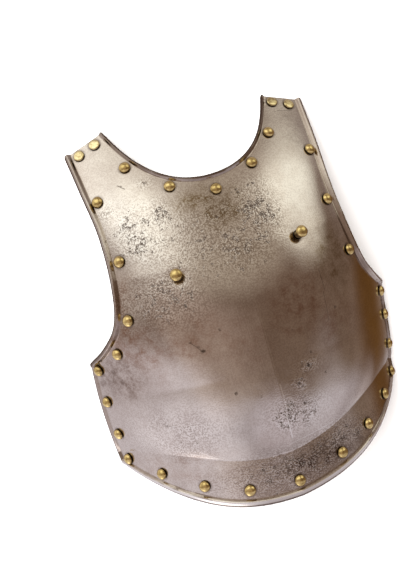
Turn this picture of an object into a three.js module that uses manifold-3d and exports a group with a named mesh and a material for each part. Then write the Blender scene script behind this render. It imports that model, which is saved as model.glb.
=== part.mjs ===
// Front plate of a heavy cavalry cuirass, lying hollow side down.
//
// One forged steel plate, open at the neck and at both armholes, with a faint
// keel down the belly, a waist crease and a flared flange below it. Its edges
// are turned outwards. Brass rivets run all the way round: domed ones along
// every edge, two flat ones on each shoulder and a tall button on each breast.
//
// Millimetres. +X is the wearer's left, +Y points to the neck and +Z out of the
// front. The plate's form is worked out about its own middle, and settle() at
// the end puts the origin on the floor under the middle of the whole.
import * as THREE from 'three';
import Module from 'manifold-3d';

// ---------------------------------------------------------------- sizes
const plateThickness = 2.8;
const fitGap = 0.3;
const seatGap = 0.15;

// Cross sections of the plate from the waist crease up to the shoulders.
// crown: height of the middle line above the floor. sideDrop: how far the
// section has fallen at sideReach from the middle.
const sideReach = 170;
const sections = [
  { y: -165, crown: 124.5, sideDrop: 130 },
  { y: -110, crown: 132, sideDrop: 110 },
  { y: -50, crown: 133.5, sideDrop: 102 },
  { y: 10, crown: 127, sideDrop: 93 },
  { y: 70, crown: 104, sideDrop: 88 },
  { y: 130, crown: 71, sideDrop: 73 },
  { y: 205, crown: 10.7, sideDrop: 48 },
];

// The plate isn't quite even, so it leans a little as it lies.
const lean = 0.0115;

// The keel is a slight fold down the middle that fades out on the breast.
const keel = { slope: 0.1, fadeStart: -60, fadeEnd: 60 };

// Waist: the crease and the lower lip are curves across the plate, measured
// from their lowest point in the middle, and both run a little out of square.
const waist = {
  creaseMiddle: -154,
  creaseRise: 77,
  creaseFlatten: -55,
  creaseDip: 4,
  dipReach: 18,
  lipMiddle: -205,
  lipRise: 54,
  reach: 165,
  skew: 5,
  skewReach: 110,
};

// Outline of the wearer's left half, seen from the front.
const armSkew = -3;
const corner = { x: 164.5, y: -149 };
const sideBow = 3.3;
const armhole = [
  { y: -27, x: 168.5 },
  { y: -12, x: 154 },
  { y: 12, x: 138 },
  { y: 50, x: 129.5 },
  { y: 102, x: 126.5 },
  { y: 149, x: 130.5 },
  { y: 188, x: 134 },
];
const shoulder = { outerX: 134, outerY: 188, innerX: 89, innerY: 204 };
const neck = { middleY: 138, middlePull: 61, tipPullX: -9, tipPullY: -18 };

// How far each edge is turned outwards, and how wide the turned band is.
const turned = {
  armhole: { height: 4, width: 9 },
  side: { height: 2.5, width: 7 },
  waist: { height: 3, width: 8 },
  neck: { height: 3, width: 7 },
};

// Domed rivets, from the edge they follow: along is the share of the edge's
// length, on the wearer's right and left, and inset the distance from it.
// The fourth armhole rivet is missing on the wearer's left.
const edgeRivets = [
  { name: 'neck_outer', edge: 'neck', right: 0.63, left: 0.63, inset: 12 },
  { name: 'neck_inner', edge: 'neck', right: 0.28, left: 0.32, inset: 12 },
  { name: 'armhole_1', edge: 'armhole', right: 0.74, left: 0.74, inset: 14 },
  { name: 'armhole_2', edge: 'armhole', right: 0.495, left: 0.53, inset: 16 },
  { name: 'armhole_3', edge: 'armhole', right: 0.295, left: 0.335, inset: 17.5 },
  { name: 'armhole_4', edge: 'armhole', right: 0.17, left: null, inset: 16 },
  { name: 'side_1', edge: 'side', right: 0.955, left: 0.925, inset: 11 },
  { name: 'side_2', edge: 'side', right: 0.645, left: 0.66, inset: 14 },
  { name: 'side_3', edge: 'side', right: 0.36, left: 0.37, inset: 16.5 },
  { name: 'side_4', edge: 'side', right: 0.04, left: 0.005, inset: 18 },
  { name: 'waist_1', edge: 'waist', right: 0.715, left: 0.705, inset: 18.5 },
  { name: 'waist_2', edge: 'waist', right: 0.475, left: 0.475, inset: 20.5 },
  { name: 'waist_3', edge: 'waist', right: 0.25, left: 0.265, inset: 19.5 },
];
const middleRivets = [
  { name: 'neck_middle', x: 1, y: 123 },
  { name: 'waist_middle', x: 0, y: -187 },
];
const flatRivets = [
  { name: 'shoulder_outer', right: 0.31, left: 0.36, inset: 8.5 },
  { name: 'shoulder_inner', right: 0.71, left: 0.75, inset: 7.5 },
];
const breastButtons = [
  { name: 'breast_button_right', x: -64.9, y: 51 },
  { name: 'breast_button_left', x: 65.3, y: 56.6 },
];

// Every rivet has a shank through the plate and a hammered tail behind it.
const shankRadius = 1.9;
const tail = { radius: 3.4, faceRadius: 2.4, height: 1.2, faceBevel: 0.7 };
const domedHead = { radius: 6.1, height: 4.6 };
const flatHead = { radius: 6.2, faceRadius: 5.4, height: 1.3, rimHeight: 0.8 };
const button = {
  footRadius: 5,
  footTopRadius: 4.5,
  footHeight: 1.2,
  stemRadius: 3,
  stemStart: 1.7,
  neckHeight: 6.4,
  headRadius: 6.3,
  headUnderRadius: 5.4,
  headRim: 1.4,
  headDome: 4.2,
};
const roundSides = 10;
const domeSteps = 3;

// Grid of the plate: parts of the half width and of the height, finer by the
// edges, where the metal turns. topEdgeScale fits the edge steps to the height.
const edgeSteps = [0, 0.01, 0.02, 0.034, 0.055];
const topEdgeScale = 0.55;
const halfColumns = 15;
const bodyRows = 21;
const flangeRows = [0, 0.05, 0.1, 0.17, 0.3, 0.5, 0.7, 0.87, 1];

// Share of the top edge that is neck, and of the side that is below the arm.
const neckShare = 0.63;
const belowArmShare = 0.3;

// ---------------------------------------------------------------- materials
const steel = new THREE.MeshStandardMaterial({ color: 0x9a9088, roughness: 0.35, metalness: 0.9 });
const brass = new THREE.MeshStandardMaterial({ color: 0xb08a3c, roughness: 0.3, metalness: 0.9 });

// ---------------------------------------------------------------- curves
// Smooth curve through the rows of a table, with each row's slope taken from
// its neighbours.
function smooth(rows, key, value, at) {
  const last = rows.length - 1;
  const slopeAt = (i) => {
    const before = rows[Math.max(i - 1, 0)];
    const after = rows[Math.min(i + 1, last)];
    return (after[value] - before[value]) / (after[key] - before[key]);
  };
  let i = 0;
  while (i < last - 1 && at > rows[i + 1][key]) {
    i += 1;
  }
  const span = rows[i + 1][key] - rows[i][key];
  const t = (at - rows[i][key]) / span;
  const t2 = t * t;
  const t3 = t2 * t;
  return (2 * t3 - 3 * t2 + 1) * rows[i][value]
    + (t3 - 2 * t2 + t) * span * slopeAt(i)
    + (3 * t2 - 2 * t3) * rows[i + 1][value]
    + (t3 - t2) * span * slopeAt(i + 1);
}

const squareOff = (x) => waist.skew * Math.sin((Math.PI / 2) * (x / waist.skewReach));

function creaseY(x) {
  const q = (x / waist.reach) ** 2;
  return waist.creaseMiddle + waist.creaseRise * q + waist.creaseFlatten * q * q + squareOff(x);
}

const lipY = (x) => waist.lipMiddle + waist.lipRise * (x / waist.reach) ** 2 + squareOff(x);

// Height of the plate's front, before its edges are turned.
function frontHeight(x, y) {
  const crease = creaseY(x);
  const above = Math.max(y, crease);
  const across = Math.abs(x);
  const fade = THREE.MathUtils.clamp((keel.fadeEnd - above) / (keel.fadeEnd - keel.fadeStart), 0, 1);
  return smooth(sections, 'y', 'crown', above)
    - smooth(sections, 'y', 'sideDrop', above) * (across / sideReach) ** 3
    - keel.slope * fade * across
    - lean * x
    - waist.creaseDip * Math.exp((crease - above) / waist.dipReach);
}

const onFront = (x, y) => new THREE.Vector3(x, y, frontHeight(x, y));

function frontNormal(x, y) {
  const step = 0.5;
  const slopeX = (frontHeight(x + step, y) - frontHeight(x - step, y)) / (2 * step);
  const slopeY = (frontHeight(x, y + step) - frontHeight(x, y - step)) / (2 * step);
  return new THREE.Vector3(-slopeX, -slopeY, 1).normalize();
}

// Edges of one half in plan, hand = 1 for the wearer's left and -1 for the
// right. Each takes t from 0 to 1.
function sidePoint(hand, t) {
  const low = corner.y + squareOff(hand * corner.x);
  const high = armhole[0].y + hand * armSkew;
  const x = THREE.MathUtils.lerp(corner.x, armhole[0].x, t) + 4 * sideBow * t * (1 - t);
  return new THREE.Vector2(hand * x, THREE.MathUtils.lerp(low, high, t));
}

function armholePoint(hand, t) {
  const y = THREE.MathUtils.lerp(armhole[0].y, shoulder.outerY, t);
  return new THREE.Vector2(hand * smooth(armhole, 'y', 'x', y), y + hand * armSkew);
}

function shoulderPoint(hand, t) {
  const x = THREE.MathUtils.lerp(shoulder.outerX, shoulder.innerX, t);
  const y = THREE.MathUtils.lerp(shoulder.outerY, shoulder.innerY, t);
  return new THREE.Vector2(hand * x, y + hand * armSkew);
}

function neckPoint(hand, t) {
  const tipY = shoulder.innerY + hand * armSkew;
  const curve = new THREE.CubicBezierCurve(
    new THREE.Vector2(0, neck.middleY),
    new THREE.Vector2(neck.middlePull, neck.middleY),
    new THREE.Vector2(shoulder.innerX + neck.tipPullX, tipY + neck.tipPullY),
    new THREE.Vector2(shoulder.innerX, tipY),
  );
  const point = curve.getPoint(t);
  return new THREE.Vector2(hand * point.x, point.y);
}

function waistPoint(hand, t) {
  const x = hand * corner.x * t;
  const toCorner = corner.y + squareOff(hand * corner.x) - lipY(hand * corner.x);
  return new THREE.Vector2(x, lipY(x) + toCorner * t ** 4);
}

const edges = {
  side: sidePoint,
  armhole: armholePoint,
  shoulder: shoulderPoint,
  neck: neckPoint,
  waist: waistPoint,
};

// Where the crease runs out into the side edge, as a share of that edge.
function creaseEnd(hand) {
  const halvings = 40;
  let low = 0;
  let high = 0.5;
  for (let i = 0; i < halvings; i += 1) {
    const middle = (low + high) / 2;
    const point = sidePoint(hand, middle);
    if (point.y < creaseY(point.x)) {
      low = middle;
    } else {
      high = middle;
    }
  }
  return low;
}

function edgeLine(edge, hand) {
  const count = 120;
  const points = [];
  for (let i = 0; i <= count; i += 1) {
    const p = edges[edge](hand, i / count);
    points.push(onFront(p.x, p.y));
  }
  return points;
}

// ---------------------------------------------------------------- plate
// The grid runs from the lip (0) over the crease (1) to the shoulders and the
// neck (2), and from the wearer's right (-1) to the left (1).
function bodyEdge(hand, v) {
  if (v < belowArmShare) {
    return sidePoint(hand, THREE.MathUtils.lerp(creaseEnd(hand), 1, v / belowArmShare));
  }
  return armholePoint(hand, (v - belowArmShare) / (1 - belowArmShare));
}

function topEdge(u) {
  const hand = u < 0 ? -1 : 1;
  const across = Math.abs(u);
  if (across < neckShare) {
    return neckPoint(hand, across / neckShare);
  }
  return shoulderPoint(hand, 1 - (across - neckShare) / (1 - neckShare));
}

function creasePoint(u) {
  const hand = u < 0 ? -1 : 1;
  const end = sidePoint(hand, creaseEnd(hand));
  const x = end.x * Math.abs(u);
  return new THREE.Vector2(x, creaseY(x));
}

// A point between the curves low and high, pulled out to the side's own curve.
function between(low, high, side, across, t) {
  const point = low(across).lerp(high(across), t);
  const pull = side(t).sub(low(1).lerp(high(1), t));
  return point.addScaledVector(pull, across ** 2);
}

function planPoint(u, v) {
  const hand = u < 0 ? -1 : 1;
  const across = Math.abs(u);
  const lip = (a) => waistPoint(hand, a);
  const crease = (a) => creasePoint(hand * a);
  const top = (a) => topEdge(hand * a);
  if (v < 1) {
    return between(lip, crease, (s) => sidePoint(hand, creaseEnd(hand) * s), across, v);
  }
  return between(crease, top, (s) => bodyEdge(hand, s), across, v - 1);
}

function gridSteps(count) {
  const first = edgeSteps[edgeSteps.length - 1];
  const steps = [...edgeSteps];
  for (let i = 1; i <= count; i += 1) {
    steps.push(first + ((1 - first) * i) / count);
  }
  return steps;
}

function distanceToLine(point, line) {
  let nearest = Infinity;
  const segment = new THREE.Line3();
  const foot = new THREE.Vector3();
  for (let i = 0; i + 1 < line.length; i += 1) {
    segment.set(line[i], line[i + 1]);
    segment.closestPointToPoint(point, true, foot);
    nearest = Math.min(nearest, foot.distanceTo(point));
  }
  return nearest;
}

const turnedLines = [];
for (const [edge, turn] of Object.entries(turned)) {
  for (const hand of [-1, 1]) {
    turnedLines.push({ line: edgeLine(edge, hand), turn });
  }
}

// How far the metal stands proud of its plain form at a point near an edge.
function turnAt(point) {
  let rise = 0;
  for (const { line, turn } of turnedLines) {
    const share = distanceToLine(point, line) / turn.width;
    if (share < 1) {
      rise = Math.max(rise, turn.height * Math.cos((Math.PI / 2) * share) ** 2);
    }
  }
  return rise;
}

function plateGeometry() {
  const halfSteps = gridSteps(halfColumns).slice(0, -1);
  const columns = [...halfSteps.map((s) => s - 1), 0, ...halfSteps.map((s) => 1 - s).reverse()];
  const topSteps = edgeSteps.map((s) => 2 - s * topEdgeScale).reverse();
  const lastPlain = topSteps.shift();
  const rows = [...flangeRows];
  for (let i = 1; i <= bodyRows; i += 1) {
    rows.push(1 + ((lastPlain - 1) * i) / bodyRows);
  }
  rows.push(...topSteps);

  const front = [];
  const back = [];
  for (const v of rows) {
    for (const u of columns) {
      const plan = planPoint(u, v);
      const base = onFront(plan.x, plan.y);
      const normal = frontNormal(plan.x, plan.y);
      const outside = base.clone().addScaledVector(normal, turnAt(base));
      front.push(...outside.toArray());
      back.push(...outside.addScaledVector(normal, -plateThickness).toArray());
    }
  }
  const wide = columns.length;
  const high = rows.length;
  const behind = wide * high;
  const faces = [];
  const quad = (a, b, c, d) => faces.push(a, b, c, a, c, d);
  for (let j = 0; j + 1 < high; j += 1) {
    for (let i = 0; i + 1 < wide; i += 1) {
      const a = j * wide + i;
      quad(a, a + 1, a + wide + 1, a + wide);
      quad(behind + a, behind + a + wide, behind + a + wide + 1, behind + a + 1);
    }
  }
  const rim = [];
  for (let i = 0; i < wide; i += 1) {
    rim.push(i);
  }
  for (let j = 1; j < high; j += 1) {
    rim.push(j * wide + wide - 1);
  }
  for (let i = wide - 2; i >= 0; i -= 1) {
    rim.push((high - 1) * wide + i);
  }
  for (let j = high - 2; j > 0; j -= 1) {
    rim.push(j * wide);
  }
  rim.forEach((a, k) => {
    const b = rim[(k + 1) % rim.length];
    quad(a, behind + a, behind + b, b);
  });
  const geometry = new THREE.BufferGeometry();
  geometry.setAttribute('position', new THREE.Float32BufferAttribute([...front, ...back], 3));
  geometry.setIndex(faces);
  return geometry;
}

// ---------------------------------------------------------------- rivets
// Each rivet is turned about +Y, with 0 on the plate's front, the head above
// it and the hammered tail behind the plate.
function turnedSolid(profile) {
  const points = profile.map(([radius, height]) => new THREE.Vector2(radius, height));
  return new THREE.LatheGeometry(points, roundSides);
}

function dome(radius, bottom, height) {
  const points = [];
  for (let i = 0; i < domeSteps; i += 1) {
    const angle = (Math.PI / 2) * (i / domeSteps);
    points.push([radius * Math.cos(angle), bottom + height * Math.sin(angle)]);
  }
  return [...points, [0, bottom + height]];
}

const underPlate = -plateThickness - seatGap - fitGap;
const overPlate = seatGap + fitGap;
const shankAndTail = [
  [0, underPlate - tail.height],
  [tail.faceRadius, underPlate - tail.height],
  [tail.radius, underPlate - tail.height + tail.faceBevel],
  [tail.radius, underPlate],
  [shankRadius, underPlate],
  [shankRadius, overPlate],
];

const domedProfile = [...shankAndTail, ...dome(domedHead.radius, overPlate, domedHead.height)];

const flatProfile = [
  ...shankAndTail,
  [flatHead.radius, overPlate],
  [flatHead.radius, overPlate + flatHead.rimHeight],
  [flatHead.faceRadius, overPlate + flatHead.height],
  [0, overPlate + flatHead.height],
];

const underHead = overPlate + button.neckHeight;
const buttonProfile = [
  ...shankAndTail,
  [button.footRadius, overPlate],
  [button.footTopRadius, overPlate + button.footHeight],
  [button.stemRadius, overPlate + button.stemStart],
  [button.stemRadius, underHead],
  [button.headUnderRadius, underHead],
  ...dome(button.headRadius, underHead + button.headRim, button.headDome),
];

// The room that a rivet takes in the plate: its shape with a small gap around.
function roomProfile(headRadius) {
  const shank = shankRadius + fitGap;
  const tailRoom = tail.radius + fitGap;
  const head = headRadius + fitGap;
  const reach = 8;
  return [
    [0, -plateThickness - reach],
    [tailRoom, -plateThickness - reach],
    [tailRoom, -plateThickness - seatGap],
    [shank, -plateThickness - seatGap],
    [shank, seatGap],
    [head, seatGap],
    [head, reach],
    [0, reach],
  ];
}

// ---------------------------------------------------------------- booleans
const wasm = await Module();
wasm.setup();

function toSolid(geometry) {
  const weldStepsPerMm = 1e4;
  const position = geometry.getAttribute('position');
  const welded = new Map();
  const vertices = [];
  const use = [];
  for (let i = 0; i < position.count; i += 1) {
    const p = [position.getX(i), position.getY(i), position.getZ(i)];
    const key = p.map((value) => Math.round(value * weldStepsPerMm)).join(',');
    if (!welded.has(key)) {
      welded.set(key, vertices.length / 3);
      vertices.push(...p);
    }
    use.push(welded.get(key));
  }
  const faces = [];
  const index = geometry.getIndex().array;
  for (let i = 0; i < index.length; i += 3) {
    const face = [use[index[i]], use[index[i + 1]], use[index[i + 2]]];
    if (new Set(face).size === 3) {
      faces.push(...face);
    }
  }
  return new wasm.Manifold(new wasm.Mesh({
    numProp: 3,
    vertProperties: new Float32Array(vertices),
    triVerts: new Uint32Array(faces),
  }));
}

function toGeometry(solid) {
  const mesh = solid.getMesh();
  const geometry = new THREE.BufferGeometry();
  geometry.setAttribute('position', new THREE.BufferAttribute(mesh.vertProperties, 3));
  geometry.setIndex(new THREE.BufferAttribute(mesh.triVerts, 1));
  geometry.computeVertexNormals();
  return geometry;
}

// ---------------------------------------------------------------- assembly
function insetPoint(edge, hand, along, inset) {
  const line = new THREE.CatmullRomCurve3(edgeLine(edge, hand));
  const at = line.getPointAt(along);
  const tangent = line.getTangentAt(along);
  const inwards = frontNormal(at.x, at.y).cross(tangent).multiplyScalar(edge === 'neck' ? -hand : hand);
  return new THREE.Vector2(at.x + inwards.x * inset, at.y + inwards.y * inset);
}

const handName = { '-1': 'right', 1: 'left' };
const fittings = [];
for (const row of edgeRivets) {
  for (const hand of [-1, 1]) {
    const along = row[handName[hand]];
    if (along !== null) {
      const place = insetPoint(row.edge, hand, along, row.inset);
      fittings.push({ name: `rivet_${row.name}_${handName[hand]}`, kind: 'domed', place });
    }
  }
}
for (const row of middleRivets) {
  fittings.push({ name: `rivet_${row.name}`, kind: 'domed', place: new THREE.Vector2(row.x, row.y) });
}
for (const row of flatRivets) {
  for (const hand of [-1, 1]) {
    const place = insetPoint('shoulder', hand, row[handName[hand]], row.inset);
    fittings.push({ name: `rivet_${row.name}_${handName[hand]}`, kind: 'flat', place });
  }
}
for (const row of breastButtons) {
  fittings.push({ name: row.name, kind: 'button', place: new THREE.Vector2(row.x, row.y) });
}

const kinds = {
  domed: { shape: turnedSolid(domedProfile), room: turnedSolid(roomProfile(domedHead.radius)) },
  flat: { shape: turnedSolid(flatProfile), room: turnedSolid(roomProfile(flatHead.radius)) },
  button: { shape: turnedSolid(buttonProfile), room: turnedSolid(roomProfile(button.footRadius)) },
};

const cuirass = new THREE.Group();
let plateSolid = toSolid(plateGeometry());
const up = new THREE.Vector3(0, 1, 0);
for (const { name, kind, place } of fittings) {
  const mesh = new THREE.Mesh(kinds[kind].shape, brass.clone());
  mesh.name = name;
  mesh.position.copy(onFront(place.x, place.y));
  mesh.quaternion.setFromUnitVectors(up, frontNormal(place.x, place.y));
  mesh.updateMatrix();
  const room = kinds[kind].room.clone().applyMatrix4(mesh.matrix);
  plateSolid = plateSolid.subtract(toSolid(room));
  cuirass.add(mesh);
}
const plate = new THREE.Mesh(toGeometry(plateSolid), steel);
plate.name = 'breastplate';
cuirass.add(plate);

// Puts the origin on the floor under the middle of the bounding box.
function settle(group) {
  group.updateMatrixWorld(true);
  const box = new THREE.Box3().setFromObject(group, true);
  const middle = box.getCenter(new THREE.Vector3());
  group.position.set(-middle.x, -middle.y, -box.min.z);
  group.updateMatrixWorld(true);
}

settle(cuirass);

export default cuirass;
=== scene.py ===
"""Looks of a heavy cavalry breastplate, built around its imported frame.

The plate lies hollow side down on a pale floor: the wearer's left is +X, the
neck is +Y, and the front faces up. Sizes are in millimetres until a mesh is
placed, and Blender's metres from then on.
"""
import logging
import math
from dataclasses import dataclass, field
from enum import Enum
from functools import partial
from typing import Callable, Sequence

import bpy
import numpy as np
from mathutils import Matrix, Vector, noise


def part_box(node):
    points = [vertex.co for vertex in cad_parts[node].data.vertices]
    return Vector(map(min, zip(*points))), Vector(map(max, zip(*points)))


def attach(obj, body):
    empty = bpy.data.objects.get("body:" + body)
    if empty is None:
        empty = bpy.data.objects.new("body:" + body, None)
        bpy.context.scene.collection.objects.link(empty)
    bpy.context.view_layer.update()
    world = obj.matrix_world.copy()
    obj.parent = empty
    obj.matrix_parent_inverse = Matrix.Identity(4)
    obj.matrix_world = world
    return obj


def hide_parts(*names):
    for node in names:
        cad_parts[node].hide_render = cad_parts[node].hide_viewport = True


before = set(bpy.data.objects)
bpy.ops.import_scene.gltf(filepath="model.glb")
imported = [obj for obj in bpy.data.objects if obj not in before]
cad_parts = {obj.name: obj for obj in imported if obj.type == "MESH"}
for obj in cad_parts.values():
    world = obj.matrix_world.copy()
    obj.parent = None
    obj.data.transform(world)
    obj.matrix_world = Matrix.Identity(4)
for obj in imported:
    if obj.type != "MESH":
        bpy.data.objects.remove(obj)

log = logging.getLogger("breastplate")

MM = 0.001
PLATE_NODE = "breastplate"
Color = tuple[float, float, float]
Place = tuple[float, float, float]
Pair = tuple[float, float]
Array = np.ndarray
Piece = bpy.types.Object
Material = bpy.types.Material
Socket = bpy.types.NodeSocket


class Hand(Enum):
    """Side of the wearer, as the sign of its X."""

    RIGHT = -1
    LEFT = 1


class Bloom(Enum):
    """Patches on the steel by the name of their attribute: what time has done to it, with painted highlights
    in the bright ones and painted shade in the grimy ones.
    """

    PITTED = "pitted"
    RUSTY = "rusty"
    OLIVE = "olive"
    BRIGHT = "bright"
    GRIMY = "grimy"


class RivetKind(Enum):
    """The three brass fastenings, by the start of their names in the frame."""

    FLAT = "rivet_shoulder"
    DOMED = "rivet_"
    BUTTON = "breast_button"


# ---------------- form


@dataclass(frozen=True)
class Edge:
    """How one edge is turned outwards, in millimetres.

    The lip stands up by ``height`` over ``flat`` from the edge and comes down
    to the plate at ``reach``. Towards its rim it falls by ``droop``, evenly at
    a ``bend`` of 1 and more roundly above that. Above 0, ``polish_and_painted_light`` paints its
    band lighter, as wear and painted highlight; below 0 it paints it darker, as
    painted shade.
    """

    name: str
    height: float
    flat: float
    reach: float
    droop: float
    bend: float
    polish_and_painted_light: float


@dataclass(frozen=True)
class PlateForm:
    """Form of the breastplate's front, in millimetres about its own middle.

    Each row of ``sections`` is a place up the body, the height of the crown
    there and how far the section has dropped at ``side_reach``. Each row of
    ``armhole`` is a place up the body and the edge's distance from the middle.
    """

    thickness: float = 2.8
    side_reach: float = 170
    sections: tuple[Place, ...] = (
        (-165, 124.5, 130), (-110, 132, 110), (-50, 133.5, 102), (10, 127, 93),
        (70, 104, 88), (130, 71, 73), (205, 10.7, 48),
    )
    lean: float = 0.0115
    keel_slope: float = 0.1
    keel_fade: Pair = (-60, 60)
    crease_middle: float = -154
    crease_rise: float = 77
    crease_flatten: float = -55
    crease_dip: float = 4
    dip_reach: float = 18
    lip_middle: float = -205
    lip_rise: float = 54
    waist_reach: float = 165
    skew: float = 5
    skew_reach: float = 110
    arm_skew: float = -3
    corner: Pair = (164.5, -149)
    side_bow: float = 3.3
    armhole: tuple[Pair, ...] = (
        (-27, 168.5), (-12, 154), (12, 138), (50, 129.5), (102, 126.5), (149, 130.5), (188, 134),
    )
    shoulder_outer: Pair = (134, 188)
    shoulder_inner: Pair = (89, 204)
    neck_middle: float = 138
    neck_pull: float = 61
    neck_tip_pull: Pair = (-9, -18)
    neck_share: float = 0.63
    below_arm_share: float = 0.3
    # The rim's dark line is painted shade, laid over the lip's band within rim_width of the edge.
    rim_shade: float = -1.0
    rim_width: float = 3.0
    lip_past: float = 0.6
    mark_fade: float = 1.2
    groove_shift: float = 0.4
    slope_step: float = 0.5
    # Positive polish paints a lip lighter, as wear and painted highlight; negative polish paints it darker,
    # as painted shade.
    turned: tuple[Edge, ...] = (
        Edge("armhole", 4.2, 4.4, 7.4, 2, 2, -0.35),
        Edge("side", 2.5, 2.6, 5.6, 0.9, 2, -0.2),
        Edge("waist", 2.6, 6.8, 8.6, 3.2, 1.6, 0.7),
        Edge("neck", 3, 2, 4.4, 0.9, 2, -0.8),
    )

    def square_off(self, x: Array) -> Array:
        """Shift in Y of the waist, which runs a little out of square."""
        return self.skew * np.sin(math.pi / 2 * x / self.skew_reach)

    def crease_y(self, x: Array) -> Array:
        """Y of the waist crease at x."""
        q = (x / self.waist_reach) ** 2
        return self.crease_middle + (self.crease_rise + self.crease_flatten * q) * q + self.square_off(x)

    def lip_y(self, x: Array) -> Array:
        """Y of the lower lip's plain curve at x."""
        return self.lip_middle + self.lip_rise * (x / self.waist_reach) ** 2 + self.square_off(x)

    def height(self, x: Array, y: Array) -> Array:
        """Height of the front before its edges are turned.

        Args:
            x: Places across the plate.
            y: Places up the plate.

        Returns:
            The height of the front at each place.
        """
        crease = self.crease_y(x)
        above = np.maximum(y, crease)
        across = np.abs(x)
        low, high = self.keel_fade
        fade = np.clip((high - above) / (high - low), 0, 1)
        return (
            smooth(self.sections, 1, above)
            - smooth(self.sections, 2, above) * (across / self.side_reach) ** 3
            - self.keel_slope * fade * across
            - self.lean * x
            - self.crease_dip * np.exp((crease - above) / self.dip_reach)
        )

    def front(self, plan: Array) -> Array:
        """Points of the plain front over an array of plan points."""
        return np.column_stack([plan, self.height(plan[:, 0], plan[:, 1])])

    def normal(self, plan: Array) -> Array:
        """Finds the way out of the plain front.

        Args:
            plan: Points in plan, one row each.

        Returns:
            The unit normal at each point.
        """
        step = self.slope_step
        x, y = plan[:, 0], plan[:, 1]
        slope_x = (self.height(x + step, y) - self.height(x - step, y)) / (2 * step)
        slope_y = (self.height(x, y + step) - self.height(x, y - step)) / (2 * step)
        normals = np.column_stack([-slope_x, -slope_y, np.ones_like(x)])
        return normals / np.linalg.norm(normals, axis=1)[:, None]

    def skewed(self, hand: Hand, points: Array) -> Array:
        """Plan points above the waist, put on their own half a little out of square."""
        return points * (hand.value, 1) + (0, hand.value * self.arm_skew)

    def side_point(self, hand: Hand, t: Array, start: float = 0) -> Array:
        """Side edge in plan, from the lower corner (0) up to the armhole (1).

        Args:
            hand: Half of the plate.
            t: Shares of the edge, or of what is left of it above start.
            start: Share of the edge to begin at.

        Returns:
            The points in plan.
        """
        t = start + (1 - start) * t
        sign = hand.value
        low = self.corner[1] + self.square_off(sign * self.corner[0])
        high = self.armhole[0][0] + sign * self.arm_skew
        bow = 4 * self.side_bow * t * (1 - t)
        x = self.corner[0] + (self.armhole[0][1] - self.corner[0]) * t + bow
        return np.column_stack([sign * x, low + (high - low) * t])

    def armhole_point(self, hand: Hand, t: Array) -> Array:
        """Armhole edge in plan, from the side (0) up to the shoulder (1)."""
        y = self.armhole[0][0] + (self.shoulder_outer[1] - self.armhole[0][0]) * t
        return self.skewed(hand, np.column_stack([smooth(self.armhole, 1, y), y]))

    def shoulder_point(self, hand: Hand, t: Array) -> Array:
        """Shoulder edge in plan, from its outer (0) to its inner corner (1)."""
        outer, inner = np.array(self.shoulder_outer), np.array(self.shoulder_inner)
        return self.skewed(hand, outer + (inner - outer) * t[:, None])

    def neck_point(self, hand: Hand, t: Array) -> Array:
        """Neck edge in plan, from the middle (0) to the shoulder (1).

        Args:
            hand: Half of the plate.
            t: Shares of the edge.

        Returns:
            The points in plan.
        """
        tip = np.array(self.shoulder_inner) + (0, hand.value * self.arm_skew)
        middle = self.neck_middle
        poles = ((0, middle), (self.neck_pull, middle), tip + self.neck_tip_pull, tip)
        t = t[:, None]
        shares = ((1 - t) ** 3, 3 * t * (1 - t) ** 2, 3 * t * t * (1 - t), t**3)
        return sum(share * np.array(pole) for share, pole in zip(shares, poles)) * (hand.value, 1)

    def waist_point(self, hand: Hand, t: Array) -> Array:
        """Lower lip in plan, from the middle (0) to the corner (1)."""
        corner_x = hand.value * self.corner[0]
        to_corner = self.corner[1] + self.square_off(corner_x) - self.lip_y(corner_x)
        x = corner_x * t
        return np.column_stack([x, self.lip_y(x) + to_corner * t**4])

    def crease_end(self, hand: Hand) -> float:
        """Share of the side edge at which the crease runs out."""
        share = np.linspace(0, 0.5, 2001)
        points = self.side_point(hand, share)
        return float(share[np.argmax(points[:, 1] >= self.crease_y(points[:, 0]))])

    def crease_point(self, hand: Hand, across: Array) -> Array:
        """Crease in plan, from the middle (0) to the side edge (1)."""
        x = self.side_point(hand, np.array([self.crease_end(hand)]))[0, 0] * across
        return np.column_stack([x, self.crease_y(x)])

    def body_edge(self, hand: Hand, t: Array) -> Array:
        """Outer edge of the body, from the crease (0) up to the shoulder (1)."""
        side = partial(self.side_point, hand, start=self.crease_end(hand))
        return joined(side, partial(self.armhole_point, hand), self.below_arm_share, t)

    def top_edge(self, hand: Hand, across: Array) -> Array:
        """Upper edge, from the neck's middle (0) to the armhole (1)."""
        neck, shoulder = partial(self.neck_point, hand), partial(self.shoulder_point, hand)
        return joined(neck, lambda share: shoulder(1 - share), self.neck_share, across)

    def plan(self, hand: Hand, across: Array, rise: Array) -> Array:
        """Plan points of one half.

        Args:
            hand: Half of the plate.
            across: Shares of the half width, from the middle (0) to the edge (1).
            rise: Places from the lip (0) over the crease (1) to the top (2).

        Returns:
            The points, one row each.
        """
        low, high = np.minimum(rise, 1), np.maximum(rise - 1, 0)
        waist, crease, top = (partial(c, hand) for c in (self.waist_point, self.crease_point, self.top_edge))
        side = self.side_point(hand, self.crease_end(hand) * low)
        flange = stretched(waist, crease, side, across, low)
        body = stretched(crease, top, self.body_edge(hand, high), across, high)
        return np.where((rise < 1)[:, None], flange, body)

    def round_corners(self, plan: Array) -> Array:
        """Rounds the corners of the outline, drawing in the metal behind them.

        Args:
            plan: Points of the sheet.

        Returns:
            The moved points.
        """
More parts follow.
